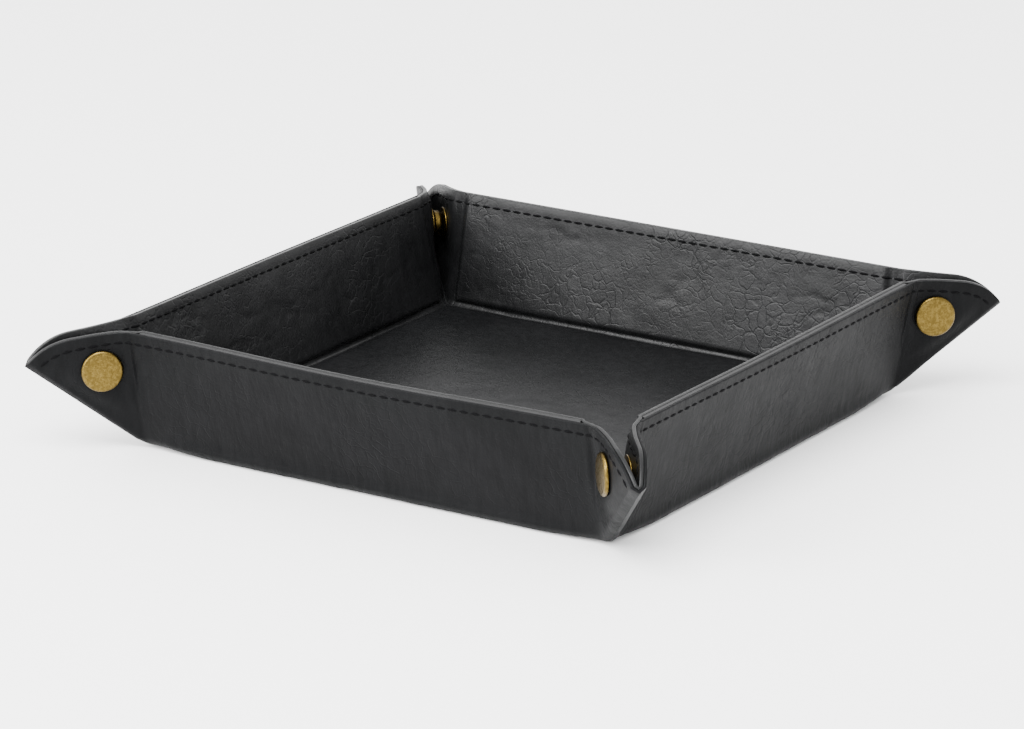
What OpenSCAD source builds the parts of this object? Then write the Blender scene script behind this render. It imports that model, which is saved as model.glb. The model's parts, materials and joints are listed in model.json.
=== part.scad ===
// Folding dice tray: a square leather sheet with a stiffened base and four stiffened walls.
// Each corner of the sheet is pinched outwards along its diagonal and held by a press snap.
// The tray stands on z = 0 with the middle of its base on the origin. Front is -Y.

/* [Tray] */
// Distance from the middle of the base to each wall's fold line, in mm
base_half = 80; // [60:1:120]
// Height of a wall along its slope, from the fold line to the rim, in mm
wall_h = 36.6; // [34:0.1:42]
// Angle that each wall is folded up from flat, in degrees
wall_angle = 78; // [76:0.5:79]
// Radius of the sheet's rounded corners, in mm
corner_r = 20; // [16:0.5:24]

/* [Sheet] */
// Thickness of the outer leather, in mm
outer_t = 1.0; // [0.8:0.1:1.2]
// Thickness of the lining leather, in mm
lining_t = 1.2; // [0.9:0.1:1.3]
// Thickness of the stiffening boards, in mm
board_t = 1.0; // [0.8:0.1:1.2]
// Distance from a fold line to the board's edge, in mm
board_gap = 2.2; // [2.2:0.1:3]
// Distance from a wall's end crease to its board, in mm
board_end = 4.2; // [3.5:0.1:6]

/* [Stitching] */
// Distance of the seam from the rim, in mm
seam_inset = 3.3; // [2.5:0.1:4]
// Distance from one stitch to the next, in mm
stitch_pitch = 3.8; // [3:0.1:5]
// Length of one stitch, in mm
stitch_len = 2.9; // [2:0.1:2.9]

/* [Snaps] */
// Diameter of the snap's cap, in mm
cap_d = 12.5; // [11:0.5:13]
// Height of the cap's dome, in mm
cap_h = 1.9; // [1.5:0.1:2.2]
// Distance of the snap's centre from the ear's crease, in mm
snap_u = 10; // [9:0.5:10.5]
// Distance of the snap's centre up from the base's corner, in mm
snap_v = 25.2; // [24.8:0.1:26]

/* [Hidden] */
WALLS = [["front_wall", 0], ["right_wall", 1], ["back_wall", 2], ["left_wall", 3]];
// Each ear: its name, its wall's quarter turn, the end of that wall, and its half of the snap
EARS = [
    ["front_right", 0, 1, "cap"],
    ["front_left", 0, -1, "cap"],
    ["right_front", 1, -1, "stud"],
    ["right_back", 1, 1, "cap"],
    ["back_right", 2, -1, "stud"],
    ["back_left", 2, 1, "stud"],
    ["left_back", 3, -1, "cap"],
    ["left_front", 3, 1, "stud"]
];

$fn = 64;
leather = "#2b2c2e";
lining_leather = "#252628";
greyboard = "#8d8577";
thread_black = "#161617";
brass = "#a08c55";

// Leather and lining together; every fold line lies at this height, on the lining's face
sheet_t = outer_t + lining_t;
// How far each piece stops short of a fold line
fold_gap = 0.2;
// How far each ear stops short of the diagonal fold that it shares with its neighbour
diagonal_gap = 0.75;
// Width of the lining's step around a board
step_w = 1.0;
// Play between a board and its pocket
board_play = 0.1;

// Angle that an ear turns out from its wall, so that the two ears of a corner just meet
ear_angle = acos(cos(wall_angle) / sqrt(1 + pow(sin(wall_angle), 2))) - atan2(sin(wall_angle), 1);
// Angle between an ear and the upright plane through the corner's diagonal
ear_lean = 90 - wall_angle;
// The rounded corner's centre, measured from the base's corner along both creases
corner_c = wall_h - corner_r;

// Half of the space between two ears at their snap
snap_half = (snap_v - snap_u) / sqrt(2) * sin(ear_lean);
seat_r = cap_d / 2 + 0.35;
barrel_r = 1.3;
barrel_bore = 0.8;
barrel_hole = 1.4;
socket_r = 5.2;
socket_floor = 0.55;
flare_r = 2.0;
flare_t = 0.3;
stud_r = 5.0;
stud_base = 1.0;
post_r = 1.9;
bulb_r = 2.15;
snap_play = 0.35;
shell_t = 0.5;
rivet_r = 4.6;
socket_h = 2 * snap_half - stud_base - snap_play;
stud_h = 2 * snap_half - socket_floor - flare_t - snap_play;
lip_r = bulb_r + snap_play;

stitch_w = 0.6;
stitch_t = 0.3;
// The last stitch on an ear keeps this far from the diagonal fold
stitch_clear = 3;
// Length of the seam's curve on an ear, measured round the corner's centre
seam_r = corner_r - seam_inset;
seam_curve = seam_r * (acos(stitch_clear / seam_r) - 45) * PI / 180;

// How far a layer stops short of an ear's crease, so that folding the ear outwards closes no gap
function crease_trim(depth) = depth * tan(ear_angle / 2) + fold_gap;

// Puts a wall, drawn flat along -Y from its fold line, in its folded place
module wall_place(side)
    rotate([0, 0, 90 * side])
        translate([0, -base_half, sheet_t])
            rotate([-wall_angle, 0, 0])
                children();

// Puts an ear, drawn flat along +X from its crease, in its folded place
module ear_place(ear)
    wall_place(ear[1])
        mirror([ear[2] < 0 ? 1 : 0, 0, 0])
            translate([base_half, 0, 0])
                rotate([0, ear_angle, 0])
                    children();

// Puts a snap part, drawn along +Z from the ear's inner face, square to the diagonal plane
module snap_place()
    translate([snap_u, -snap_v, 0])
        rotate(a = -ear_lean, v = [1, -1, 0])
            children();

// A slab with its x and y limits stated
module slab(x0, x1, y0, y1, z0, t)
    translate([x0, y0, z0])
        cube([x1 - x0, y1 - y0, t]);

// A square slab about the origin
module square_slab(half, z0, t)
    slab(-half, half, -half, half, z0, t);

// One layer of an ear: half of the sheet's rounded corner, from the crease to the diagonal
module ear_layer(trim, z0, t) {
    offset_v = diagonal_gap * sqrt(2);
    far = 2 * wall_h;
    intersection() {
        union() {
            slab(0, corner_c, -wall_h, 0, z0, t);
            translate([corner_c, -corner_c, z0])
                cylinder(r = corner_r, h = t);
        }
        translate([0, 0, z0])
            linear_extrude(t)
                polygon([[trim, -trim - offset_v], [trim, -far], [far - offset_v, -far]]);
    }
}

// An ear's layer with a round seat for the snap, pressed square to the snap's axis
module seated_ear_layer(trim, z0, t)
    difference() {
        union() {
            ear_layer(trim, z0, t);
            snap_place()
                translate([0, 0, z0])
                    cylinder(r = seat_r, h = t);
        }
        snap_place() {
            translate([0, 0, z0 + t])
                cylinder(r = seat_r, h = 4);
            translate([0, 0, z0 - 4])
                cylinder(r = seat_r, h = 4);
            translate([0, 0, z0 - 1])
                cylinder(r = barrel_hole, h = t + 2);
        }
    }

// One stitch, lying along X on z = 0
module stitch()
    translate([-stitch_len / 2, -stitch_w / 2, 0])
        cube([stitch_len, stitch_w, stitch_t]);

// A stitch on each face of a sheet whose faces are at z0 and z1
module stitch_pair(z0, z1) {
    translate([0, 0, z1])
        stitch();
    translate([0, 0, z0 - stitch_t])
        stitch();
}

module base_outer()
    color(leather)
        square_slab(base_half - fold_gap, 0, outer_t);

module base_lining()
    color(lining_leather)
        difference() {
            union() {
                square_slab(base_half - fold_gap, outer_t, lining_t);
                square_slab(base_half - board_gap + step_w, outer_t, board_t + lining_t);
            }
            square_slab(base_half - board_gap, outer_t, board_t);
        }

module base_board()
    color(greyboard)
        square_slab(base_half - board_gap - board_play, outer_t, board_t);

module wall_outer(side)
    color(leather)
        wall_place(side) {
            end = base_half - crease_trim(sheet_t);
            slab(-end, end, -wall_h, -fold_gap, -sheet_t, outer_t);
        }

module wall_lining(side)
    color(lining_leather)
        wall_place(side) {
            end = base_half - crease_trim(lining_t);
            pocket = base_half - board_end;
            step = pocket + step_w;
            difference() {
                union() {
                    slab(-end, end, -wall_h, -fold_gap, -lining_t, lining_t);
                    slab(-step, step, -wall_h, step_w - board_gap, -lining_t, board_t + lining_t);
                }
                slab(-pocket, pocket, -wall_h - 1, -board_gap, -lining_t, board_t);
            }
        }

module wall_board(side)
    color(greyboard)
        wall_place(side) {
            end = base_half - board_end - board_play;
            slab(-end, end, board_play - wall_h, -board_gap - board_play, -lining_t, board_t);
        }

module wall_thread(side)
    color(thread_black)
        wall_place(side) {
            count = floor((base_half - board_end - stitch_len / 2) / stitch_pitch);
            for (i = [-count:count])
                translate([i * stitch_pitch, seam_inset - wall_h, 0])
                    stitch_pair(-sheet_t, board_t);
        }

module ear_outer(ear)
    color(leather)
        ear_place(ear)
            seated_ear_layer(crease_trim(sheet_t), -sheet_t, outer_t);

module ear_lining(ear)
    color(lining_leather)
        ear_place(ear)
            seated_ear_layer(crease_trim(lining_t), -lining_t, lining_t);

// The seam runs straight along the rim and then round the corner
module ear_thread(ear)
    color(thread_black)
        ear_place(ear) {
            first = stitch_len;
            count = floor((corner_c + seam_curve - first) / stitch_pitch);
            for (i = [0:count]) {
                run = first + i * stitch_pitch;
                turn = max(0, run - corner_c) / seam_r * 180 / PI;
                translate([min(run, corner_c), -corner_c, 0])
                    rotate([0, 0, turn])
                        translate([0, -seam_r, 0])
                            stitch_pair(-sheet_t, 0);
            }
        }

// A hollow barrel that runs through the sheet, from z0 to z1
module barrel(z0, z1)
    translate([0, 0, z0])
        difference() {
            cylinder(r = barrel_r, h = z1 - z0);
            translate([0, 0, -1])
                cylinder(r = barrel_bore, h = z1 - z0 + 2);
        }

// A lens of the cap's height, with a band round its edge
module dome(radius, height, band) {
    rise = height - band;
    ball_r = (pow(radius, 2) + pow(rise, 2)) / (2 * rise);
    intersection() {
        cylinder(r = radius, h = height);
        translate([0, 0, height - ball_r])
            sphere(r = ball_r, $fn = 128);
    }
}

// Domed cap on the outside; its barrel is flared over the socket's floor
module cap(ear)
    color(brass)
        ear_place(ear)
            snap_place() {
                translate([0, 0, -sheet_t])
                    mirror([0, 0, 1])
                        difference() {
                            dome(cap_d / 2, cap_h, shell_t);
                            translate([0, 0, -shell_t])
                                dome(cap_d / 2 - shell_t, cap_h, shell_t);
                        }
                barrel(-sheet_t - cap_h + shell_t / 2, socket_floor + flare_t);
                translate([0, 0, socket_floor])
                    difference() {
                        cylinder(r = flare_r, h = flare_t);
                        translate([0, 0, -1])
                            cylinder(r = barrel_bore, h = flare_t + 2);
                    }
            }

module socket(ear)
    color(brass)
        ear_place(ear)
            snap_place()
                rotate_extrude()
                    polygon([
                        [barrel_hole, 0],
                        [socket_r, 0],
                        [socket_r, socket_floor],
                        [socket_r - 1, socket_floor + 0.4],
                        [socket_r - 1.2, socket_h - 0.4],
                        [socket_r - 1.6, socket_h],
                        [lip_r, socket_h],
                        [lip_r, socket_h - 0.6],
                        [lip_r + 0.6, socket_h - 0.9],
                        [lip_r + 0.6, socket_floor],
                        [barrel_hole, socket_floor]
                    ]);

module stud(ear)
    color(brass)
        ear_place(ear)
            snap_place()
                rotate_extrude()
                    polygon([
                        [barrel_hole, 0],
                        [stud_r, 0],
                        [stud_r, shell_t],
                        [post_r + 0.7, stud_base],
                        [post_r, stud_base + 0.25],
                        [post_r, stud_h - 1.1],
                        [bulb_r, stud_h - 0.8],
                        [bulb_r, stud_h - 0.4],
                        [bulb_r - 0.5, stud_h],
                        [0, stud_h],
                        [0, stud_h - 0.4],
                        [barrel_hole, stud_h - 0.4]
                    ]);

// Rolled ring on the outside; its barrel runs up inside the stud
module rivet(ear)
    color(brass)
        ear_place(ear)
            snap_place() {
                barrel(-sheet_t - shell_t, stud_h - 0.5);
                translate([0, 0, -sheet_t])
                    mirror([0, 0, 1])
                        difference() {
                            dome(rivet_r, 2 * shell_t, shell_t);
                            translate([0, 0, -1])
                                cylinder(r = barrel_bore, h = 4);
                        }
            }

base_outer();
base_lining();
base_board();
for (w = WALLS) {
    wall_outer(w[1]);
    wall_lining(w[1]);
    wall_board(w[1]);
    wall_thread(w[1]);
}
for (e = EARS) {
    ear_outer(e);
    ear_lining(e);
    ear_thread(e);
    if (e[3] == "cap") {
        cap(e);
        socket(e);
    } else {
        stud(e);
        rivet(e);
    }
}
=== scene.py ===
"""Folding dice tray: the looks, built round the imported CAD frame.

Lengths inside the script are in millimetres and turn to metres when a mesh is made. The tray is one
leather sheet folded up from flat, so every leather surface is sampled from one folded-sheet function.
"""

import json
import math

import bpy
import numpy as np
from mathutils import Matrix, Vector


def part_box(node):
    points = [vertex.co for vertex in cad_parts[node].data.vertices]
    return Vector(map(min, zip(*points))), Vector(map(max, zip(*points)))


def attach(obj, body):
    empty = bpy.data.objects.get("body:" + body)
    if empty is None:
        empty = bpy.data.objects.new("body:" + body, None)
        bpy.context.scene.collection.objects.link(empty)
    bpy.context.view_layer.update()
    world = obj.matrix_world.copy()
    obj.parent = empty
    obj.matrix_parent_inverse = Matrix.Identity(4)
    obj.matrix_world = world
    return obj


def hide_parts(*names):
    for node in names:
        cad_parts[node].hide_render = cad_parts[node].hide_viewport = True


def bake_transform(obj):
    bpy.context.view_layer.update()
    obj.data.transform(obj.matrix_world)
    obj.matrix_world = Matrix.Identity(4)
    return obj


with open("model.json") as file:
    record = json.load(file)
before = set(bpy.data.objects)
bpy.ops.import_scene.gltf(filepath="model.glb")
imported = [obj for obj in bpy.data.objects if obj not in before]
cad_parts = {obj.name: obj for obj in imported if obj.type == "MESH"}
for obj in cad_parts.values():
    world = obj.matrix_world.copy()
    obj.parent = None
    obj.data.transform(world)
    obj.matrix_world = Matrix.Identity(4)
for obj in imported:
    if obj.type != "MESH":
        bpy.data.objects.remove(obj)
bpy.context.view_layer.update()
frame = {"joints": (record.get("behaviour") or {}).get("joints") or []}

MM = 0.001

# ---------------------------------------------------------------- driving dimensions, read from the frame

joints = {j["name"]: j for j in frame["joints"]}


def node_box(name):
    low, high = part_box(name)
    return np.array(low) / MM, np.array(high) / MM


fold = joints["front_wall_fold"]
BASE_HALF = -fold["pos_m"][1] / MM
SHEET_T = fold["pos_m"][2] / MM
WALL_ANGLE = math.radians(max(fold["range_deg"]))
EAR_ANGLE = math.radians(max(joints["ear_front_right_fold"]["range_deg"]))
OUTER_T = node_box("base_outer")[1][2]
LINING_T = SHEET_T - OUTER_T
BOARD_T = node_box("base_lining")[1][2] - SHEET_T
BOARD_GAP = BASE_HALF - node_box("base_board")[1][0]
BOARD_END = BASE_HALF - node_box("front_wall_board")[1][0]
COS_W, SIN_W = math.cos(WALL_ANGLE), math.sin(WALL_ANGLE)
WALL_H = (node_box("front_wall_outer")[1][2] - SHEET_T + LINING_T * COS_W) / SIN_W
EAR_LEAN = math.pi / 2 - WALL_ANGLE

# Places on the sheet, as the CAD has them
CORNER_R = 20.0
CORNER_C = WALL_H - CORNER_R
SEAM_INSET = 3.3
STITCH_PITCH = 3.8
STITCH_LEN = 3.0
SNAP_U = 10.0
SNAP_V = 25.2

WALLS = ["front_wall", "right_wall", "back_wall", "left_wall"]
# Ear name, the quarter turn of its wall, the end of that wall, and its half of the snap
EARS = [
    ("front_right", 0, 1, "cap"),
    ("front_left", 0, -1, "cap"),
    ("right_front", 1, -1, "stud"),
    ("right_back", 1, 1, "cap"),
    ("back_right", 2, -1, "stud"),
    ("back_left", 2, 1, "stud"),
    ("left_back", 3, -1, "cap"),
    ("left_front", 3, 1, "stud"),
]
# How far each wall bows outwards at the middle of its rim
WALL_BOW = [1.8, 0.5, 0.4, 0.6]


def ramp(value, start, stop):
    """Smooth step: 0 up to start, 1 from stop on. Start may be above stop."""
    t = np.clip((value - start) / (stop - start), 0.0, 1.0)
    return t * t * (3 - 2 * t)


# ---------------------------------------------------------------- the folded sheet, at one corner

# Near a corner a point of the flat sheet is (a, b): its distances past the right and the front fold line.
CREASE_HALF = 2.4
GRID_STEP = 0.5
GRID_LOW = -62.0
GRID_HIGH = 72.0
FLAT_FROM = -40.0
# How much the folds, the wall's end creases and the corner's point are rounded
FOLD_BLUR = 0.6
CREASE_BLUR = 2.0
CORNER_BLUR = 2.8


def ear_point(u, v):
    """The front ear as a flat plate: u out from its crease, v up it."""
    cos_e, sin_e = math.cos(EAR_ANGLE), math.sin(EAR_ANGLE)
    x = BASE_HALF + u * cos_e
    y = -BASE_HALF - v * COS_W - u * SIN_W * sin_e
    z = SHEET_T + v * SIN_W - u * COS_W * sin_e
    return np.stack([x, y, z], -1)


def front_half(a, b):
    """The folded sheet where b > a: the base, the front wall and its ear, with plain folds."""
    base = np.stack([BASE_HALF + a, -BASE_HALF - b, np.full_like(a, SHEET_T)], -1)
    wall = np.stack([BASE_HALF + a, -BASE_HALF - b * COS_W, SHEET_T + b * SIN_W], -1)
    ear = ear_point(a, b)
    point = np.where((b < 0)[..., None], base, np.where((a < 0)[..., None], wall, ear))
    # The crease turns in a strip, which narrows to nothing at the base's corner
    half = CREASE_HALF * ramp(b, 0.0, 16.0) + 1e-6
    t = np.clip((a + half) / (2 * half), 0, 1)[..., None]
    low = np.stack([BASE_HALF - half, -BASE_HALF - b * COS_W, SHEET_T + b * SIN_W], -1)
    strip = low * (1 - t) + ear_point(half, b) * t
    in_strip = (b > 0) & (np.abs(a) < half) & (b > a)
    return np.where(in_strip[..., None], strip, point)


def rigid_sheet(a, b):
    front = front_half(a, b)
    other = front_half(b, a)
    right = np.stack([-other[..., 1], -other[..., 0], other[..., 2]], -1)
    return np.where((b >= a)[..., None], front, right)


def blurred(field, sigma):
    """Gaussian blur along both axes of the grid, with the edge values carried outwards."""
    reach = int(math.ceil(3.2 * sigma / GRID_STEP))
    weights = np.exp(-0.5 * (np.arange(-reach, reach + 1) * GRID_STEP / sigma) ** 2)
    weights /= weights.sum()
    for axis in (0, 1):
        pad = [(0, 0)] * 3
        pad[axis] = (reach, reach)
        wide = np.pad(field, pad, mode="reflect", reflect_type="odd")
        length = field.shape[axis]
        field = sum(
            w * np.take(wide, np.arange(i, i + length), axis=axis) for i, w in enumerate(weights)
        )
    return field


def blurred_outwards(field, sigma):
    """Gaussian blur along the corner's diagonal only, which keeps the pinched fold itself tight."""
    step = GRID_STEP * math.sqrt(2)
    reach = int(math.ceil(3.0 * sigma / step))
    weights = np.exp(-0.5 * (np.arange(-reach, reach + 1) * step / sigma) ** 2)
    weights /= weights.sum()
    wide = np.pad(field, [(reach, reach), (reach, reach), (0, 0)], mode="reflect", reflect_type="odd")
    n, m = field.shape[:2]
    return sum(w * wide[i : i + n, i : i + m] for i, w in enumerate(weights))


def corner_field():
    """The folded corner on a regular grid, with each fold rounded as much as the leather rounds it."""
    line = np.arange(GRID_LOW, GRID_HIGH + GRID_STEP / 2, GRID_STEP)
    a, b = np.meshgrid(line, line, indexing="ij")
    rigid = rigid_sheet(a, b)
    sharp, middle = blurred(rigid, FOLD_BLUR), blurred(rigid, CREASE_BLUR)
    soft = blurred_outwards(sharp, CORNER_BLUR)
    reach = np.hypot(a, b)
    near = ramp(reach, 24.0, 6.0)[..., None]
    lower = ramp(reach, 34.0, 20.0)[..., None]
    # The wall creases loosen towards the base; the diagonal and the base folds stay tighter
    off_diagonal = ramp(np.abs(a - b), 0.0, 8.0)[..., None]
    above = ramp(np.maximum(a, b), 4.0, 14.0) * ramp(np.minimum(a, b), -12.0, -4.0)
    crease = lower * off_diagonal * above[..., None]
    field = sharp * (1 - crease) + middle * crease
    return field * (1 - near) + soft * near


FIELD = corner_field()


def sample(a, b):
    """Catmull-Rom sample of the corner field; far along a wall or the base it carries on straight."""
    ac, bc = np.maximum(a, FLAT_FROM), np.maximum(b, FLAT_FROM)
    fa, fb = (ac - GRID_LOW) / GRID_STEP, (bc - GRID_LOW) / GRID_STEP
    ia, ib = np.floor(fa).astype(int), np.floor(fb).astype(int)
    ta, tb = fa - ia, fb - ib

    def taps(t):
        return (
            0.5 * (-t + 2 * t**2 - t**3),
            0.5 * (2 - 5 * t**2 + 3 * t**3),
            0.5 * (t + 4 * t**2 - 3 * t**3),
            0.5 * (t**3 - t**2),
        )

    wa, wb = taps(ta), taps(tb)
    total = np.zeros(a.shape + (3,))
    for i in range(4):
        for j in range(4):
            total += (wa[i] * wb[j])[..., None] * FIELD[ia + i - 1, ib + j - 1]
    total[..., 0] += a - ac
    total[..., 1] -= b - bc
    return total


# The snap's seat is level out to the first radius and fades by the second; its lift is limited
SEAT_FLAT = 6.5
SEAT_END = 17.0
SEAT_LIMIT = 8.0


def snap_seat(a, b):
    """How far the ear is pressed inwards round its snap, to set the seat square to the snap's axis."""
    u, v = np.minimum(a, b), np.maximum(a, b)
    across = ((v - SNAP_V) - (u - SNAP_U)) / math.sqrt(2)
    away = np.hypot(u - SNAP_U, v - SNAP_V)
    level = ramp(away, SEAT_END, SEAT_FLAT) * ramp(u, -4.0, 5.0) * ramp(v - u, 0.0, 9.0)
    return SEAT_LIMIT * np.tanh(across / SEAT_LIMIT) * math.tan(EAR_LEAN) * level


def frame_at(a, b):
    """Point and inner normal of the lining's face at (a, b)."""
    h = 0.35
    point = sample(a, b)
    da = sample(a + h, b) - sample(a - h, b)
    db = sample(a, b + h) - sample(a, b - h)
    normal = np.cross(db, da)
    normal /= np.linalg.norm(normal, axis=-1, keepdims=True)
    return point + normal * snap_seat(a, b)[..., None], normal


# ---------------------------------------------------------------- noise, for wrinkles in the surface


def hash_grid(ix, iy, iz, seed):
    h = (ix * 374761393 + iy * 668265263 + iz * 2147483647 + seed * 144665) & 0xFFFFFFFF
    h = ((h ^ (h >> 13)) * 1274126177) & 0xFFFFFFFF
    return ((h ^ (h >> 16)) & 0xFFFFFF) / float(0xFFFFFF)


def value_noise(p, seed):
    """Smooth noise from 0 to 1 at each point of p."""
    base = np.floor(p).astype(np.int64)
    t = p - base
    t = t * t * t * (t * (t * 6 - 15) + 10)
    total = np.zeros(p.shape[:-1])
    for dx in (0, 1):
        for dy in (0, 1):
            for dz in (0, 1):
                w = (t[..., 0] if dx else 1 - t[..., 0]) * (t[..., 1] if dy else 1 - t[..., 1])
                w = w * (t[..., 2] if dz else 1 - t[..., 2])
                total += w * hash_grid(base[..., 0] + dx, base[..., 1] + dy, base[..., 2] + dz, seed)
    return total


def layered_noise(p, seed, octaves=3):
    total, size = 0.0, 0.0
    for k in range(octaves):
        total = total + value_noise(p * 2.03**k, seed + 17 * k) * 0.5**k
        size += 0.5**k
    return total / size


def wrinkle_lift(point, amount):
    """Soft undulation and creased veins of the leather, as a height along the normal."""
    swell = layered_noise(point / 26.0, 3) - 0.5
    warp = np.stack([layered_noise(point / 9.0, s, 2) - 0.5 for s in (11, 12, 13)], -1)
    warped = point + 9.0 * warp
    vein = 1 - np.abs(2 * value_noise(warped / 7.0, 21) - 1) * 3.2
    vein = np.clip(vein, 0, 1) ** 1.5
    where = ramp(layered_noise(point / 19.0, 31, 2), 0.42, 0.64)
    return amount * (0.45 * swell - 0.16 * vein * where)


# ---------------------------------------------------------------- sheets of leather as closed shells


# Distances from a fold between which the lining steps up onto the board
STEP_FROM = 1.3
STEP_TO = 2.5


def board_lift(a, b, end):
    """Height of the lining over the boards: a step down round every fold."""
    base = ramp(b, -STEP_FROM, -STEP_TO) * ramp(a, -STEP_FROM, -STEP_TO)
    wall = ramp(b, STEP_FROM, STEP_TO) * ramp(a, STEP_FROM - end, -0.1 - end)
    return BOARD_T * np.maximum(base, wall)


def turned(points, quarter):
    """Points turned by quarter turns about the tray's middle."""
    c, s = round(math.cos(quarter * math.pi / 2)), round(math.sin(quarter * math.pi / 2))
    x, y, z = points[..., 0], points[..., 1], points[..., 2]
    return np.stack([c * x - s * y, s * x + c * y, z], -1)


# How far the outer face is pulled in at a wall's end crease, and stands proud at the base fold
CREASE_DEPTH = 0.6
HEM_HEIGHT = 0.7


class Patch:
    """A stretch of the folded sheet, in the front wall's own place, then turned to its side."""

    def __init__(self, side):
        self.side, self.bow = side, WALL_BOW[side]

    def place(self, x, b, depth, wrinkle, lifted):
        """Points at x along the front wall and b up it, at a depth from the lining's face."""
        a = np.abs(x) - BASE_HALF
        point, normal = frame_at(a, b)
        flip = np.where(x < 0, -1.0, 1.0)
        point[..., 0] *= flip
        normal[..., 0] *= flip
        swing = np.cos(math.pi * np.clip(x / (2 * (BASE_HALF - 2)), -0.5, 0.5)) ** 2
        rise = np.clip(b / WALL_H, 0, 2)
        bow = -self.bow * swing * rise**1.4
        lift = board_lift(a, b, BOARD_END) if lifted else 0.0
        point, normal = turned(point, self.side), turned(normal, self.side)
        # The seam holds the sheet flat near the rim
        loose = ramp(b, WALL_H - 1.5, WALL_H - 8.5)
        extra = wrinkle_lift(point, wrinkle) * loose if wrinkle else 0.0
        # The outer face is pulled in along each wall's end crease and stands proud at the base fold
        outer = ramp(depth, -LINING_T, -SHEET_T)
        crease = CREASE_DEPTH * np.exp(-((a / 1.1) ** 2)) * ramp(b, 5.0, 23.0)
        hem = HEM_HEIGHT * np.exp(-(((b - 1.0) / 1.5) ** 2)) * ramp(a, -1.0, -13.0)
        return point + normal * (depth + bow + lift + extra + outer * (crease - hem))[..., None]

    def layer(self, x, b, depth, wrinkle, lifted, front):
        """Points of a layer's loops; the seen face, up to the rim's rounding, carries the wrinkles."""
        wrinkled = self.place(x, b, depth, wrinkle, lifted)
        plain = self.place(x, b, depth, 0.0, lifted)
        showing = np.arange(x.shape[1]) < front - len(ROUND)
        return np.where(showing[None, :, None], wrinkled, plain)


# Edges that turn more than this stay crisp
SHARP_FROM = math.radians(50)


def make_object(name, points, faces, material):
    mesh = bpy.data.meshes.new(name)
    mesh.from_pydata((np.asarray(points) * MM).tolist(), [], faces)
    mesh.polygons.foreach_set("use_smooth", [True] * len(mesh.polygons))
    mesh.materials.append(material)
    mesh.validate()
    mesh.update()
    mesh.set_sharp_from_angle(angle=SHARP_FROM)
    obj = bpy.data.objects.new(name, mesh)
    bpy.context.collection.objects.link(obj)
    return obj


def zip_strip(first, second):
    """Triangles between two rows of vertices of different lengths."""
    faces, i, j = [], 0, 0
    while i < len(first) - 1 or j < len(second) - 1:
        ahead = (i + 1) / (len(first) - 1) <= (j + 1) / (len(second) - 1)
        if (ahead and i < len(first) - 1) or j == len(second) - 1:
            faces.append((first[i], second[j], first[i + 1]))
            i += 1
        else:
            faces.append((first[i], second[j], second[j + 1]))
            j += 1
    return faces


def shell(name, columns, front, material, flipped):
    """A closed shell. Each column is a loop: front points of the seen face, then the hidden one."""
    count, ring = columns.shape[0], columns.shape[1]
    faces = []
    for i in range(count - 1):
        for j in range(ring):
            k = (j + 1) % ring
            faces.append((i * ring + j, i * ring + k, (i + 1) * ring + k, (i + 1) * ring + j))
    seen = list(range(front))
    hidden = list(range(ring - 1, front - 1, -1))
    start = zip_strip(seen, hidden)
    end = [tuple(v + (count - 1) * ring for v in reversed(face)) for face in start]
    faces += start + end
    if flipped:
        faces = [tuple(reversed(face)) for face in faces]
    return make_object(name, columns.reshape(-1, 3), faces, material)


# Rows up a wall or an ear are close together at the base fold, along the seam and at the rim.
# The seam's zone reaches SEAM_ZONE down from the rim, the walls' pieces BASE_EDGE onto the base,
# and the ears' pieces PATCH_SIDE onto the wall. EDGE_R is the roundness of a leather's edge.
SEAM_ZONE = 6.0
BASE_EDGE = 2.0
PATCH_SIDE = 5.0
EDGE_R = 0.32
GROOVE = 0.16


def rows_between(low, high, step):
    return np.linspace(low, high, max(2, int(round((high - low) / step)) + 1))


FOLD_ROWS = rows_between(-BASE_EDGE, BASE_EDGE, 0.34)
BODY_ROWS = rows_between(BASE_EDGE, WALL_H - SEAM_ZONE, 0.85)[1:]
SEAM_INSETS = np.concatenate(
    [
        rows_between(SEAM_ZONE, 4.2, 0.6)[1:],
        rows_between(4.2, 2.4, 0.3)[1:],
        rows_between(2.4, EDGE_R, 0.5)[1:],
    ]
)
ROUND = np.radians([22.5, 45, 67.5, 90])


def layer_profile(rows, seen, hidden, hidden_rows):
    """The loop of one column, up to the rim and back down: (row or None, inset, depth)."""
    sign = 1.0 if seen > hidden else -1.0
    loop = [(row, None, seen) for row in rows]
    for inset in SEAM_INSETS:
        dip = GROOVE * math.exp(-(((inset - SEAM_INSET) / 0.42) ** 2))
        loop.append((None, inset, seen - sign * dip))
    edge = [(EDGE_R * (1 - math.sin(turn)), sign * EDGE_R * (1 - math.cos(turn))) for turn in ROUND]
    loop += [(None, inset, seen - drop) for inset, drop in edge]
    front = len(loop)
    loop += [(None, inset, hidden + drop) for inset, drop in edge[::-1]]
    loop.append((None, EDGE_R + 0.6, hidden))
    loop += [(row, None, hidden) for row in hidden_rows[::-1]]
    return loop, front


# ---------------------------------------------------------------- materials


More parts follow.
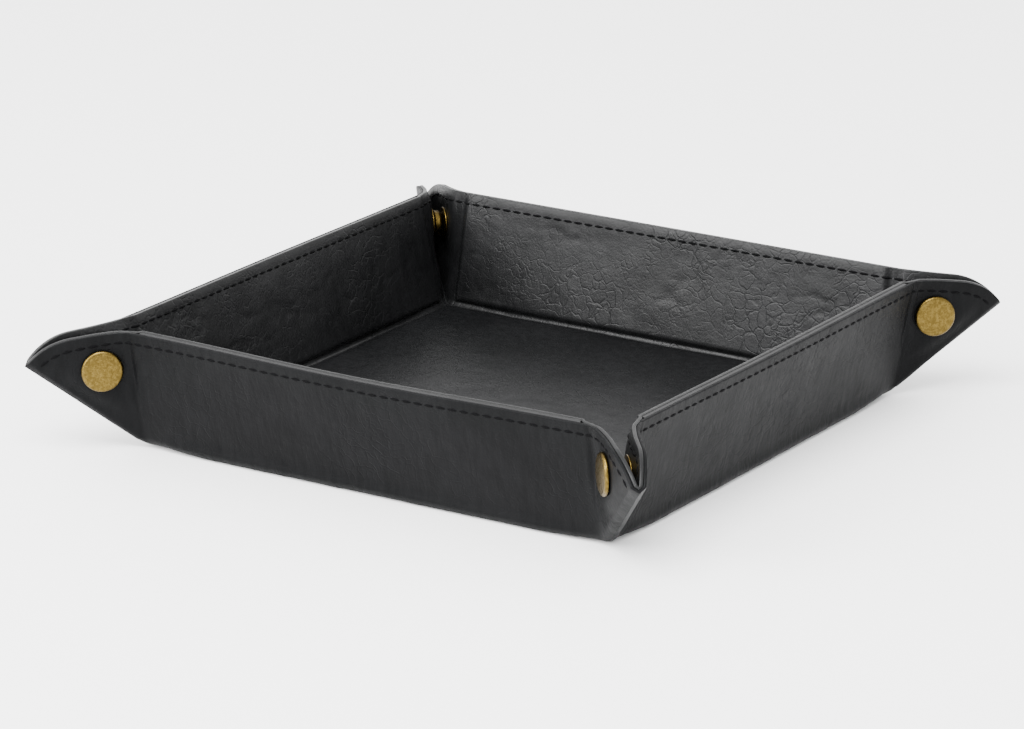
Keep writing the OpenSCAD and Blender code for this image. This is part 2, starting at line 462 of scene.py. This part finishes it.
class Nodes:
    """Short helpers for building one material's node tree in the tray's own frame, in metres."""

    def __init__(self, name):
        self.mat = bpy.data.materials.new(name)
        self.mat.use_nodes = True
        self.nodes, self.links = self.mat.node_tree.nodes, self.mat.node_tree.links
        self.shader = self.nodes["Principled BSDF"]
        self.place = self.nodes.new("ShaderNodeTexCoord").outputs["Object"]

    def put(self, socket, value):
        if isinstance(value, bpy.types.NodeSocket):
            self.links.new(value, socket)
        else:
            socket.default_value = value

    def stretched(self, scale, place=None):
        node = self.nodes.new("ShaderNodeMapping")
        node.inputs["Scale"].default_value = scale
        self.put(node.inputs["Vector"], place or self.place)
        return node.outputs[0]

    def noise(self, scale, detail=3.0, rough=0.55, place=None, color=False):
        node = self.nodes.new("ShaderNodeTexNoise")
        node.inputs["Scale"].default_value = scale
        node.inputs["Detail"].default_value = detail
        node.inputs["Roughness"].default_value = rough
        self.put(node.inputs["Vector"], place or self.place)
        return node.outputs["Color" if color else "Fac"]

    def cells(self, scale, place):
        """Distance to the nearest border between cells: the crackle's lines lie at 0."""
        node = self.nodes.new("ShaderNodeTexVoronoi")
        node.feature = "DISTANCE_TO_EDGE"
        node.inputs["Scale"].default_value = scale
        self.put(node.inputs["Vector"], place)
        return node.outputs["Distance"]

    def warped(self, amount, scale, place=None):
        add = self.nodes.new("ShaderNodeVectorMath")
        add.operation = "MULTIPLY_ADD"
        self.put(add.inputs[0], self.noise(scale, 2.0, 0.5, place, True))
        add.inputs[1].default_value = (amount, amount, amount)
        self.put(add.inputs[2], place or self.place)
        return add.outputs[0]

    def spread(self, value, low, high, out_low, out_high):
        node = self.nodes.new("ShaderNodeMapRange")
        node.interpolation_type = "SMOOTHSTEP"
        self.put(node.inputs["Value"], value)
        limits = {"From Min": low, "From Max": high, "To Min": out_low, "To Max": out_high}
        for key, number in limits.items():
            node.inputs[key].default_value = number
        return node.outputs[0]

    def sum(self, *terms):
        total = None
        for value, factor in terms:
            node = self.nodes.new("ShaderNodeMath")
            node.operation = "MULTIPLY_ADD"
            self.put(node.inputs[0], value)
            self.put(node.inputs[1], factor)
            self.put(node.inputs[2], total if total is not None else 0.0)
            total = node.outputs[0]
        return total

    def blend(self, factor, first, second):
        node = self.nodes.new("ShaderNodeMix")
        node.data_type = "RGBA"
        self.put(node.inputs["Factor"], factor)
        for socket, value in zip([i for i in node.inputs if i.type == "RGBA"], (first, second)):
            self.put(socket, value)
        return next(o for o in node.outputs if o.type == "RGBA")

    def bump(self, height, distance, strength=1.0):
        node = self.nodes.new("ShaderNodeBump")
        node.inputs["Strength"].default_value = strength
        node.inputs["Distance"].default_value = distance
        self.put(node.inputs["Height"], height)
        self.put(self.shader.inputs["Normal"], node.outputs[0])


def leather_material(name, dark, light, crackle, streaks, rough, shine):
    """Waxed leather: fine grain, crackle lines in patches, and streaks along its height."""
    n = Nodes(name)
    patches = n.spread(n.noise(38, 3), 0.4, 0.62, 0.0, 1.0)
    veins = n.spread(n.cells(230, n.warped(0.011, 110)), 0.0, 0.075, 1.0, 0.0)
    small = n.spread(n.cells(400, n.warped(0.004, 260)), 0.0, 0.14, 1.0, 0.0)
    veined = n.sum((veins, patches))
    crazed = n.sum((small, n.spread(n.noise(55, 3), 0.45, 0.65, 0.0, 1.0)))
    streak = n.noise(420, 3, 0.6, n.stretched((1, 1, 0.12)))
    grain = n.noise(1500, 2)
    soft = n.noise(110, 2)
    creases = ((veined, -0.24 * crackle), (crazed, -0.15 * crackle))
    n.bump(n.sum(*creases, (streak, 0.45 * streaks), (grain, 0.1), (soft, 0.5)), 0.0006, 0.75)
    tone = n.sum((n.noise(30, 3), 0.5), (streak, 0.5))
    base = n.blend(n.spread(tone, 0.38, 0.64, 0.0, 1.0), (*dark, 1), (*light, 1))
    n.put(n.shader.inputs["Base Color"], base)
    dullness = n.sum((n.noise(90, 3), 0.16), (veined, 0.12 * crackle), (rough - 0.08, 1.0))
    n.put(n.shader.inputs["Roughness"], dullness)
    n.shader.inputs["Specular IOR Level"].default_value = shine
    return n.mat


def thread_material(name):
    n = Nodes(name)
    n.bump(n.noise(2600, 2, 0.6), 0.0002)
    color = n.blend(n.noise(900, 2), (0.0006, 0.0006, 0.0007, 1), (0.002, 0.002, 0.0023, 1))
    n.put(n.shader.inputs["Base Color"], color)
    n.shader.inputs["Roughness"].default_value = 0.62
    n.shader.inputs["Specular IOR Level"].default_value = 0.03
    return n.mat


def brass_material(name):
    """Old brass: mottled brown and gold, a little duller where it is brown."""
    n = Nodes(name)
    patches = n.sum((n.noise(800, 4, 0.65), 0.6), (n.noise(2400, 3, 0.6), 0.4))
    mottle = n.spread(patches, 0.4, 0.62, 0.0, 1.0)
    color = n.blend(mottle, (0.068, 0.045, 0.0105, 1), (0.115, 0.079, 0.021, 1))
    n.put(n.shader.inputs["Base Color"], color)
    n.put(n.shader.inputs["Roughness"], n.sum((mottle, -0.08), (0.34, 1.0)))
    n.bump(n.sum((n.noise(900, 3), 1.0), (mottle, 0.4)), 0.00012, 0.5)
    n.shader.inputs["Metallic"].default_value = 1.0
    return n.mat


LINING_TONES = ((0.0022, 0.0023, 0.0025), (0.0042, 0.0043, 0.0046))
# Each leather: its two tones, then crackle, streaks, roughness and shine. The outer and the lining are
# one black leather, given as a shaded and a lit copy.
# Painted shade: the outer leather's tones are darker and its shine lower than the lining's
OUTER = leather_material(
    "outer_leather", (0.0016, 0.0017, 0.0019), (0.003, 0.0031, 0.0034), 0.4, 0.8, 0.46, 0.05
)
# Painted light: the lining's tones are lighter and its shine higher than the outer leather's
LINING = leather_material("lining_leather", *LINING_TONES, 0.5, 0.25, 0.38, 0.17)
# Painted shade: the base's lining is the lining with its shine cut down, which darkens the base
SHADED_FLOOR_LINING = leather_material("base_lining_leather", *LINING_TONES, 0.35, 0.0, 0.37, 0.065)
CORE = leather_material(
    "painted_edge", (0.004, 0.004, 0.0043), (0.007, 0.007, 0.0075), 0.2, 0.2, 0.5, 0.25
)
THREAD = thread_material("black_thread")
BRASS = brass_material("antique_brass")

# ---------------------------------------------------------------- walls


def wall_columns():
    half = BASE_HALF - PATCH_SIDE
    middle = rows_between(-half + 6, half - 6, 1.1)
    ends = rows_between(half - 6, half, 0.6)[1:]
    return np.concatenate([-ends[::-1], middle, ends])


def fold_blend(obj):
    """Bakes the piece's placement into its mesh."""
    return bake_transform(obj)


def wall_layer(side, layer, seen, hidden, wrinkle, material):
    lifted = layer == "lining"
    patch = Patch(side)
    rows = np.concatenate([FOLD_ROWS, BODY_ROWS])
    hidden_rows = np.concatenate([rows_between(-BASE_EDGE, BASE_EDGE, 1.0), rows_between(8, 30, 5)])
    loop, front = layer_profile(rows, seen, hidden, hidden_rows)
    xs = wall_columns()
    b = np.array([WALL_H - inset if row is None else row for row, inset, _ in loop])
    depth = np.array([d for _, _, d in loop])
    grid_x, grid_b = np.meshgrid(xs, b, indexing="ij")
    depth = np.broadcast_to(depth, grid_x.shape)
    points = patch.layer(grid_x, grid_b, depth, wrinkle, lifted, front)
    obj = shell(f"{WALLS[side]}_{layer}_leather", points, front, material, seen > hidden)
    fold_blend(obj)
    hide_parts(f"{WALLS[side]}_{layer}")


# ---------------------------------------------------------------- base


# Width of the base's outer strip, which has finer rows, and how much its board's corners are cut
FINE_MARGIN = 12.0
CORE_CUT = 8.0


def base_frame(x, y):
    """Point and inner normal of the sheet over the base's middle."""
    point, normal = frame_at(np.abs(x) - BASE_HALF, np.abs(y) - BASE_HALF)
    for field in (point, normal):
        field[..., 0] *= np.where(x < 0, -1, 1)
        field[..., 1] *= np.where(y > 0, -1, 1)
    return point, normal


def base_layer(layer, seen, hidden, wrinkle, material):
    """The base's middle, out to just inside the folds; the walls' pieces carry on from there."""
    lifted = layer == "lining"
    edge = BASE_HALF - BASE_EDGE
    fine = rows_between(edge - FINE_MARGIN, edge, 0.8)[1:]
    middle = rows_between(FINE_MARGIN - edge, edge - FINE_MARGIN, 1.6)
    line = np.concatenate([-fine[::-1], middle, fine])
    sparse = rows_between(-edge, edge, 22)
    ys = np.concatenate([line, sparse[::-1]])
    depth = np.concatenate([np.full(len(line), seen), np.full(len(sparse), hidden)])
    grid_x, grid_y = np.meshgrid(line, ys, indexing="ij")
    point, normal = base_frame(grid_x, grid_y)
    a, b = np.abs(grid_x) - BASE_HALF, np.abs(grid_y) - BASE_HALF
    lift = board_lift(a, b, BOARD_END) if lifted else 0.0
    showing = np.arange(len(ys)) < len(line)
    extra = wrinkle_lift(point, wrinkle) * showing
    points = point + normal * (depth[None, :] + lift + extra)[..., None]
    obj = shell(f"base_{layer}_leather", points, len(line), material, seen < hidden)
    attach(obj, "base")
    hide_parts(f"base_{layer}")


# Depths of a board's two faces, a hair clear of the leathers
BOARD_PLAY = 0.03
BOARD_TOP = -LINING_T + BOARD_T - BOARD_PLAY
BOARD_FOOT = -LINING_T + BOARD_PLAY


def base_core():
    """The base's board, between the leathers; its corners follow the leather's rounding."""
    half = BASE_HALF - BOARD_GAP - 0.2
    line = rows_between(-half, half, 2.0)
    ys = np.concatenate([line, line[::-1]])
    depth = np.repeat([BOARD_TOP, BOARD_FOOT], len(line))
    grid_x, grid_y = np.meshgrid(line, ys, indexing="ij")
    cut = np.maximum(0.0, (np.abs(grid_x) + np.abs(grid_y) - 2 * half + CORE_CUT) / 2)
    grid_x, grid_y = grid_x - np.sign(grid_x) * cut, grid_y - np.sign(grid_y) * cut
    point, normal = base_frame(grid_x, grid_y)
    obj = shell("base_core", point + normal * depth[None, :, None], len(line), CORE, False)
    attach(obj, "base")
    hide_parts("base_board")


# ---------------------------------------------------------------- ears and the corners below them


def outline_point(t, inset):
    """A point of the ear's outline, moved inwards: straight along the rim, then round the corner."""
    straight = t <= 0.5
    along = -PATCH_SIDE + (CORNER_C + PATCH_SIDE) * np.clip(t / 0.5, 0, 1)
    turn = math.pi / 4 * np.clip((t - 0.5) / 0.5, 0, 1)
    radius = CORNER_R - inset
    a = np.where(straight, along, CORNER_C + radius * np.sin(turn))
    b = np.where(straight, WALL_H - inset, CORNER_C + radius * np.cos(turn))
    return a, b


EAR_T = np.concatenate([np.linspace(0, 0.5, 32), np.linspace(0.5, 1, 26)[1:]])


def ear_blend(obj, side, end):
    """Works out the ends of an ear's crease, which go unused, and bakes the piece's placement into its
    mesh.
    """
    start = np.array([BASE_HALF - 4.5, -BASE_HALF - 18 * COS_W, SHEET_T + 18 * SIN_W])
    stop = ear_point(4.5, 18.0)
    mirror = np.array([end, 1, 1])
    start, stop = turned(start * mirror, side) * MM, turned(stop * mirror, side) * MM
    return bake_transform(obj)


def ear_layer(ear, layer, seen, hidden, wrinkle, material):
    name, side, end, _ = ear
    patch = Patch(side)
    hidden_rows = rows_between(BASE_EDGE, 30, 5)
    rows = np.concatenate([[BASE_EDGE], BODY_ROWS])
    loop, front = layer_profile(rows, seen, hidden, hidden_rows)
    top_a, top_b = outline_point(EAR_T, SEAM_ZONE)
    share = np.clip((top_a + PATCH_SIDE) / (top_a[-1] + PATCH_SIDE), 0, 1)
    foot_a = -PATCH_SIDE + (BASE_EDGE + PATCH_SIDE) * share
    grid_a = np.zeros((len(EAR_T), len(loop)))
    grid_b = np.zeros_like(grid_a)
    for j, (row, inset, _) in enumerate(loop):
        if row is None:
            grid_a[:, j], grid_b[:, j] = outline_point(EAR_T, inset)
        else:
            rise = (row - BASE_EDGE) / (WALL_H - SEAM_ZONE - BASE_EDGE)
            grid_a[:, j] = foot_a + (top_a - foot_a) * rise
            grid_b[:, j] = BASE_EDGE + (top_b - BASE_EDGE) * rise
    depth = np.broadcast_to(np.array([d for _, _, d in loop]), grid_a.shape)
    lifted = layer == "lining"
    x = (BASE_HALF + grid_a) * end
    points = patch.layer(x, grid_b, depth, wrinkle, lifted, front)
    flipped = (seen > hidden) != (end < 0)
    obj = shell(f"ear_{name}_{layer}_leather", points, front, material, flipped)
    ear_blend(obj, side, end)
    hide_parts(f"ear_{name}_{layer}")


def corner_layer(ear, layer, seen, hidden, wrinkle, material):
    """The soft leather at the base's corner, below an ear."""
    name, side, end, _ = ear
    patch = Patch(side)
    rows, sparse = FOLD_ROWS, rows_between(-BASE_EDGE, BASE_EDGE, 1.5)
    b = np.concatenate([rows, sparse[::-1]])
    depth = np.concatenate([np.full(len(rows), seen), np.full(len(sparse), hidden)])
    across = np.linspace(0, 1, 14)
    grid_t, grid_b = np.meshgrid(across, b, indexing="ij")
    grid_a = -PATCH_SIDE + grid_t * (grid_b + PATCH_SIDE)
    lifted = layer == "lining"
    x = (BASE_HALF + grid_a) * end
    depths = np.broadcast_to(depth, grid_a.shape)
    points = patch.place(x, grid_b, depths, wrinkle, lifted)
    flipped = (seen > hidden) != (end < 0)
    obj = shell(f"corner_{name}_{layer}_leather", points, len(rows), material, flipped)
    fold_blend(obj)


# ---------------------------------------------------------------- stiffening boards


def wall_board(side):
    """The board between the leathers; only its edge shows, at the rim."""
    patch = Patch(side)
    half = BASE_HALF - BOARD_END - 0.1
    rows = rows_between(BOARD_GAP + 0.1, WALL_H - 0.14, 2.5)
    b = np.concatenate([rows, rows[::-1]])
    depth = np.repeat([BOARD_TOP, BOARD_FOOT], len(rows))
    grid_x, grid_b = np.meshgrid(rows_between(-half, half, 2.5), b, indexing="ij")
    points = patch.place(grid_x, grid_b, np.broadcast_to(depth, grid_x.shape), 0.0, False)
    obj = shell(f"{WALLS[side]}_core", points, len(rows), CORE, True)
    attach(obj, WALLS[side])
    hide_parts(f"{WALLS[side]}_board")


# ---------------------------------------------------------------- stitches


def stitch_mesh(points, normals, radius=0.4, sides=8):
    """A closed thread along points: pointed at both ends, where it dives into its needle holes."""
    count = len(points)
    verts, faces = [], []
    for i, (p, n) in enumerate(zip(points, normals)):
        ahead = points[min(i + 1, count - 1)] - points[max(i - 1, 0)]
        ahead = ahead / np.linalg.norm(ahead)
        side = np.cross(ahead, n)
        side /= np.linalg.norm(side)
        up = np.cross(side, ahead)
        size = radius * math.sin(math.pi * (0.12 + 0.76 * i / (count - 1))) ** 0.5
        for k in range(sides):
            turn = 2 * math.pi * k / sides
            verts.append(p + size * (math.cos(turn) * side + 0.8 * math.sin(turn) * up))
    for i in range(count - 1):
        for k in range(sides):
            m = (k + 1) % sides
            faces.append((i * sides + k, i * sides + m, (i + 1) * sides + m, (i + 1) * sides + k))
    faces.append(tuple(range(sides - 1, -1, -1)))
    faces.append(tuple((count - 1) * sides + k for k in range(sides)))
    return verts, faces


def seam_object(name, side, stitches):
    """A seam of single stitches; each is a list of (x, b) places on the sheet."""
    patch = Patch(side)
    verts, faces = [], []
    for places in stitches:
        x = np.array([p[0] for p in places])
        b = np.array([p[1] for p in places])
        arch = np.sin(np.linspace(0, math.pi, len(places)))
        for face in (1, -1):
            if face > 0:
                depth, lifted = -GROOVE + 0.2 * arch, True
            else:
                depth, lifted = -SHEET_T + GROOVE - 0.2 * arch, False
            points = patch.place(x, b, depth, 0.0, lifted)
            above = patch.place(x, b, depth + face, 0.0, lifted)
            got_verts, got_faces = stitch_mesh(points, above - points)
            faces += [tuple(v + len(verts) for v in f) for f in got_faces]
            verts += got_verts
    return make_object(name, verts, faces, THREAD)


# Stitches on each side of a wall's middle one
WALL_STITCHES = int((BASE_HALF - PATCH_SIDE - STITCH_LEN / 2) / STITCH_PITCH)


def wall_seam(side):
    b = WALL_H - SEAM_INSET
    stitches = []
    for i in range(-WALL_STITCHES, WALL_STITCHES + 1):
        run = i * STITCH_PITCH + np.linspace(-STITCH_LEN / 2, STITCH_LEN / 2, 6)
        stitches.append([(x, b) for x in run])
    name = WALLS[side]
    obj = seam_object(f"{name}_seam", side, stitches)
    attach(obj, name)
    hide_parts(f"{name}_thread")


def ear_seam(ear):
    """The seam goes on over the crease, along the ear's rim and round its corner to the tip."""
    name, side, end, _ = ear
    first = (WALL_STITCHES + 1) * STITCH_PITCH - BASE_HALF
    radius = CORNER_R - SEAM_INSET
    length = CORNER_C + radius * math.pi / 4
    stitches, run = [], first
    while run + STITCH_LEN / 2 < length - 0.2:
        places = []
        for s in run + np.linspace(-STITCH_LEN / 2, STITCH_LEN / 2, 6):
            turn = max(0.0, s - CORNER_C) / radius
            a = min(s, CORNER_C) + radius * math.sin(turn)
            places.append(((BASE_HALF + a) * end, CORNER_C + radius * math.cos(turn)))
        stitches.append(places)
        run += STITCH_PITCH
    obj = seam_object(f"ear_{name}_seam", side, stitches)
    ear_blend(obj, side, end)
    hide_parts(f"ear_{name}_thread")


# ---------------------------------------------------------------- snaps


def lathe(name, profile, origin, axis, body, node, segments=72):
    """Turns a closed outline of (radius, height) points round the snap's axis."""
    place = Vector((0, 0, 1)).rotation_difference(Vector(axis)).to_matrix()
    verts, faces = [], []
    count = len(profile)
    for i in range(segments):
        turn = 2 * math.pi * i / segments
        for r, z in profile:
            local = Vector((r * math.cos(turn), r * math.sin(turn), z))
            verts.append(tuple(np.array(origin) + np.array(place @ local)))
    for i in range(segments):
        nxt = (i + 1) % segments
        for j in range(count):
            k = (j + 1) % count
            faces.append((i * count + j, nxt * count + j, nxt * count + k, i * count + k))
    obj = make_object(name, verts, faces, BRASS)
    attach(obj, body)
    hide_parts(node)


def rounded(points, radius, steps=3):
    """A closed outline with every corner rounded."""
    result = []
    count = len(points)
    for i, p in enumerate(points):
        before, after = np.array(points[i - 1]) - p, np.array(points[(i + 1) % count]) - p
        lb, la = np.linalg.norm(before), np.linalg.norm(after)
        cut = min(radius, 0.45 * lb, 0.45 * la)
        start, stop = np.array(p) + before / lb * cut, np.array(p) + after / la * cut
        for t in np.linspace(0, 1, steps + 1):
            bend = (1 - t) ** 2 * start + 2 * t * (1 - t) * np.array(p) + t * t * stop
            result.append(tuple(bend))
    return result


SNAP_HALF = (SNAP_V - SNAP_U) / math.sqrt(2) * math.sin(EAR_LEAN)
# Heights within the snap: the stud's flange, the socket's floor, the barrel's flare and the play
STUD_FLANGE = 1.0
SOCKET_FLOOR = 0.55
FLARE_T = 0.3
SNAP_PLAY = 0.35
SOCKET_H = 2 * SNAP_HALF - STUD_FLANGE - SNAP_PLAY
STUD_H = 2 * SNAP_HALF - SOCKET_FLOOR - FLARE_T - SNAP_PLAY


def cap_profile():
    """Domed cap with a rolled edge, and its barrel up to the socket's floor."""
    z = -SHEET_T
    dome = [(r, z - 1.9 + 0.42 * (r / 5.2) ** 2.4) for r in np.linspace(0.02, 5.2, 14)]
    turns = np.linspace(0.12, math.pi / 2, 9)
    edge = [(5.2 + 1.05 * math.sin(t), z - 0.62 - 0.86 * math.cos(t)) for t in turns]
    under = [(6.22, z - 0.3), (6.05, z - 0.06), (5.75, z + 0.02), (5.5, z - 0.25), (1.3, z - 0.9)]
    barrel = [(1.3, 0.5), (2.0, 0.58), (1.9, 0.84), (0.8, 0.84), (0.8, z - 1.2), (0.02, z - 1.3)]
    return dome + edge + under + barrel


def socket_profile():
    h = SOCKET_H
    ring = [(1.4, 0.0), (5.2, 0.0), (5.25, 0.35), (4.5, 0.75), (4.15, 1.1), (4.0, h - 0.6)]
    lip = [(3.6, h - 0.05), (3.1, h), (2.5, h - 0.2), (2.5, h - 0.6), (3.1, h - 0.95)]
    return rounded(ring + lip + [(3.1, SOCKET_FLOOR), (1.4, SOCKET_FLOOR)], 0.2)


def stud_profile():
    h = STUD_H
    flange = [(1.4, 0.0), (5.0, 0.0), (5.0, 0.4), (3.4, 0.62), (2.5, STUD_FLANGE), (1.9, 1.3)]
    bulb = [(1.9, h - 1.1), (2.15, h - 0.8), (2.15, h - 0.4), (1.6, h), (0.02, h)]
    return rounded(flange + bulb + [(0.02, h - 0.4), (1.4, h - 0.4)], 0.15)


def rivet_profile():
    z = -SHEET_T
    barrel = [(0.8, STUD_H - 0.5), (1.3, STUD_H - 0.5), (1.3, z)]
    head = [(4.6, z), (4.6, z - 0.35), (4.2, z - 0.75), (3.4, z - 0.85), (2.0, z - 0.7)]
    return rounded(barrel + head + [(1.2, z - 0.25), (0.8, z + 0.3)], 0.18)


def snap_half(ear):
    name, side, end, kind = ear
    origin = ear_point(SNAP_U, SNAP_V) * np.array([end, 1, 1])
    axis = np.array([end / math.sqrt(2), 1 / math.sqrt(2), 0.0])
    # The axis points across the corner's diagonal plane, towards the neighbouring wall's ear
    origin, axis = turned(origin, side), turned(axis, side)
    pieces = (
        [("cap", cap_profile()), ("socket", socket_profile())]
        if kind == "cap"
        else [("stud", stud_profile()), ("rivet", rivet_profile())]
    )
    for piece, profile in pieces:
        lathe(f"{piece}_{name}_brass", profile, origin, axis, f"ear_{name}", f"{piece}_{name}")


# ---------------------------------------------------------------- the tray

# Depth of the outer leather's hidden face, a hair below the lining's
OUTER_BACK = -LINING_T - 0.04

base_core()
base_layer("outer", -SHEET_T, OUTER_BACK, 0.0, OUTER)
base_layer("lining", 0.0, -LINING_T, 0.6, SHADED_FLOOR_LINING)
for side in range(4):
    wall_layer(side, "outer", -SHEET_T, OUTER_BACK, 0.6, OUTER)
    wall_layer(side, "lining", 0.0, -LINING_T, 1.0, LINING)
    wall_board(side)
    wall_seam(side)
for ear in EARS:
    ear_layer(ear, "outer", -SHEET_T, OUTER_BACK, 0.6, OUTER)
    ear_layer(ear, "lining", 0.0, -LINING_T, 0.6, LINING)
    corner_layer(ear, "outer", -SHEET_T, OUTER_BACK, 0.6, OUTER)
    corner_layer(ear, "lining", 0.0, -LINING_T, 0.6, LINING)
    ear_seam(ear)
    snap_half(ear)

# ---------------------------------------------------------------- floor, light and camera


def softbox(name, place, size, energy):
    """A soft rectangular light aimed at the tray."""
    lamp = bpy.data.lights.new(name, "AREA")
    lamp.shape = "RECTANGLE"
    lamp.size, lamp.size_y = size
    lamp.energy = energy
    box = bpy.data.objects.new(name, lamp)
    box.location = place
    box.rotation_euler = (-box.location).to_track_quat("-Z", "Y").to_euler()
    bpy.context.collection.objects.link(box)


def studio():
    bpy.ops.mesh.primitive_plane_add(size=6)
    floor = bpy.context.object
    floor.name = "floor"
    mat = bpy.data.materials.new("floor")
    mat.use_nodes = True
    mat.node_tree.nodes["Principled BSDF"].inputs["Base Color"].default_value = (0.9, 0.9, 0.9, 1)
    floor.data.materials.append(mat)
    world = bpy.data.worlds.new("studio")
    world.use_nodes = True
    background = world.node_tree.nodes["Background"]
    background.inputs["Color"].default_value = (1, 1, 1, 1)
    background.inputs["Strength"].default_value = 3.0
    bpy.context.scene.world = world
    softbox("softbox", (0.1, -0.75, 1.5), (1.4, 0.9), 75)
    softbox("side_softbox", (-0.85, -1.4, 0.75), (1.2, 0.8), 60)


def camera():
    azimuth, elevation = math.radians(32.6), math.radians(17.67)
    back = Vector((math.sin(azimuth) * math.cos(elevation), -math.cos(azimuth) * math.cos(elevation),
                   math.sin(elevation)))
    target = Vector((0, 0, 19.3 * MM))
    data = bpy.data.cameras.new("camera")
    data.lens = 184.6
    data.sensor_width = 36
    data.shift_x = -0.0098
    data.shift_y = -0.0058
    data.clip_end = 20
    cam = bpy.data.objects.new("camera", data)
    bpy.context.collection.objects.link(cam)
    cam.location = target + back * 1.567
    cam.rotation_euler = back.to_track_quat("Z", "Y").to_euler()
    bpy.context.scene.camera = cam


studio()
camera()
